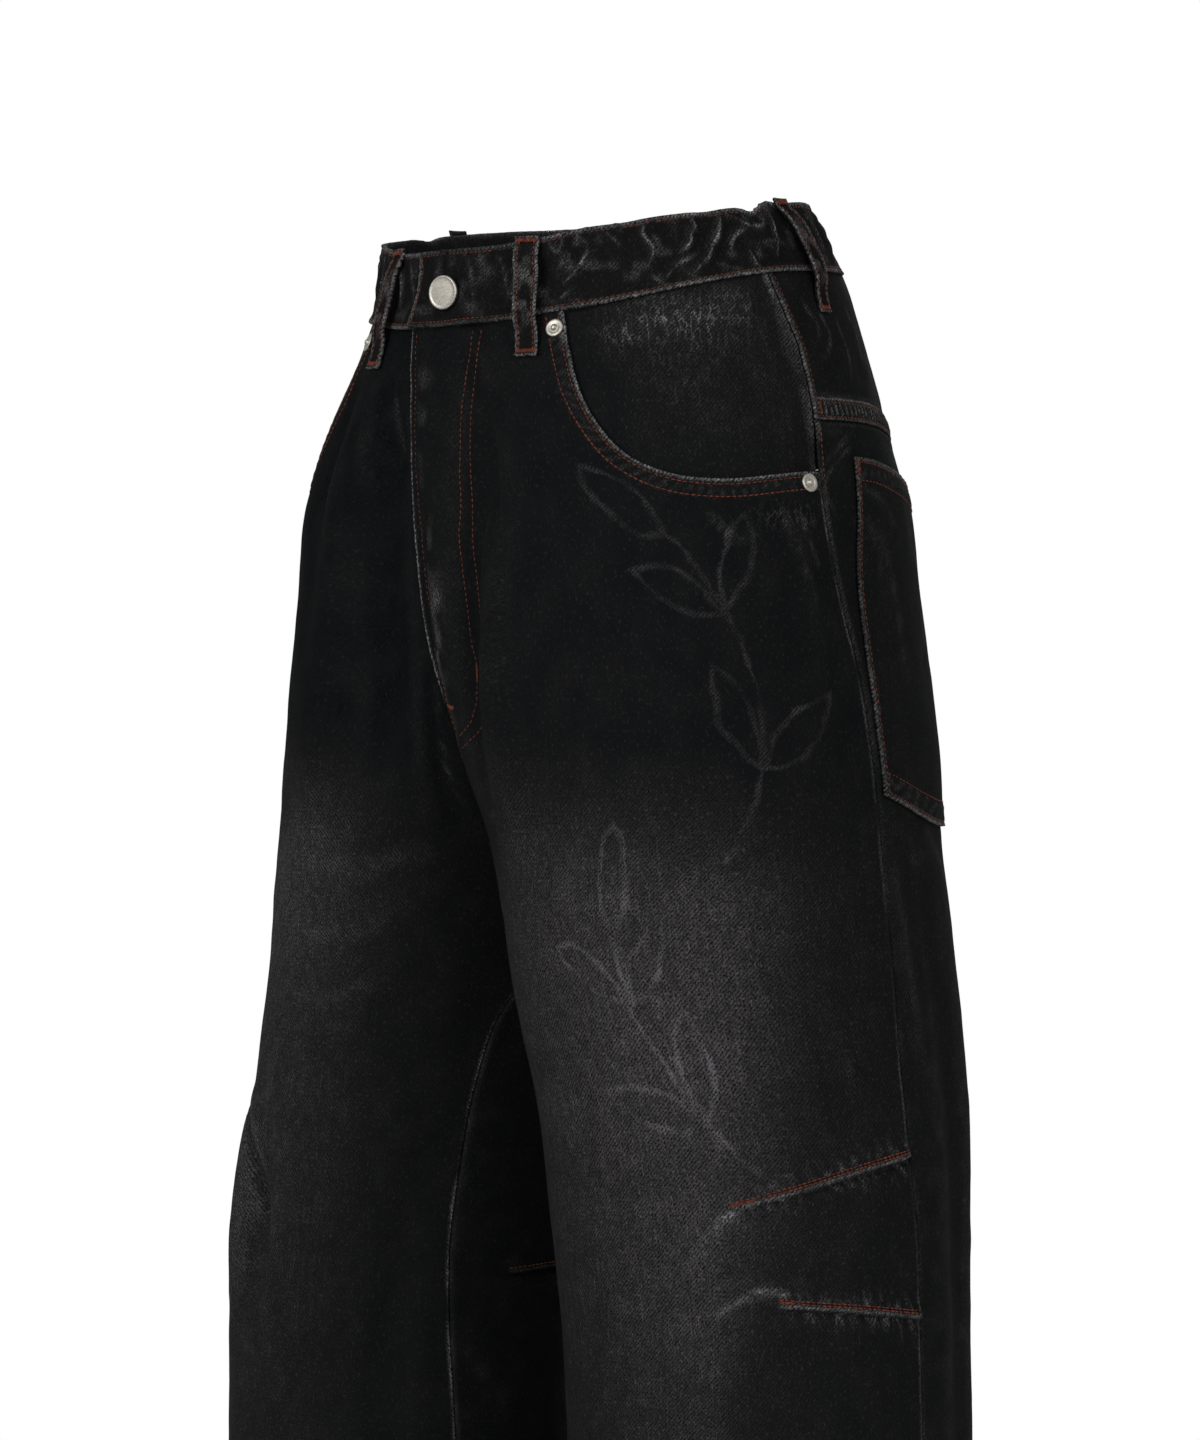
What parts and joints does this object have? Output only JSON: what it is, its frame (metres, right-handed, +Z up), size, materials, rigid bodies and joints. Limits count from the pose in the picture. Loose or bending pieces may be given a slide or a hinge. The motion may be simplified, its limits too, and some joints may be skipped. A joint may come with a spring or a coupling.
{
  "type": "wide leg jeans",
  "caption": "Wide leg jeans in faded black denim, held in their worn form: open waist with fly, tab and button, scoop front pockets, rear yokes and patch pockets, and bowed legs with open hems.",
  "frame": {"origin": "The middle of the waist, at the level where the waistband's seam crosses the sides, which is where the wearer holds the garment up.", "axes": "+Z is up along the worn garment, from the hems to the waist. The front and its fly face -Y, and the wearer's left is +X."},
  "size_m": [0.5078, 0.2501, 1.0429],
  "materials": {
    "faded_black_denim": "cotton twill, dyed near black, washed and worn to grey over the thighs and along the seams",
    "black_denim_double": "two layers of the same twill, dark, with rust topstitching",
    "brushed_nickel": "satin plated buttons and rivets"
  },
  "bodies": {
    "root": {"back_left": "faded_black_denim", "back_right": "faded_black_denim", "back_pocket_left": "faded_black_denim", "back_pocket_right": "faded_black_denim", "front_left": "faded_black_denim", "front_right": "faded_black_denim", "pocket_facing_left": "faded_black_denim", "pocket_facing_right": "faded_black_denim", "yoke_left": "faded_black_denim", "yoke_right": "faded_black_denim", "waistband": "black_denim_double", "belt_loop_front_left": "black_denim_double", "belt_loop_front_right": "black_denim_double", "belt_loop_side_left": "black_denim_double", "belt_loop_side_right": "black_denim_double", "belt_loop_centre_back": "black_denim_double", "button": "brushed_nickel", "rivet_left_upper": "brushed_nickel", "rivet_left_lower": "brushed_nickel", "rivet_right_upper": "brushed_nickel", "rivet_right_lower": "brushed_nickel"}
  },
  "joints": []
}
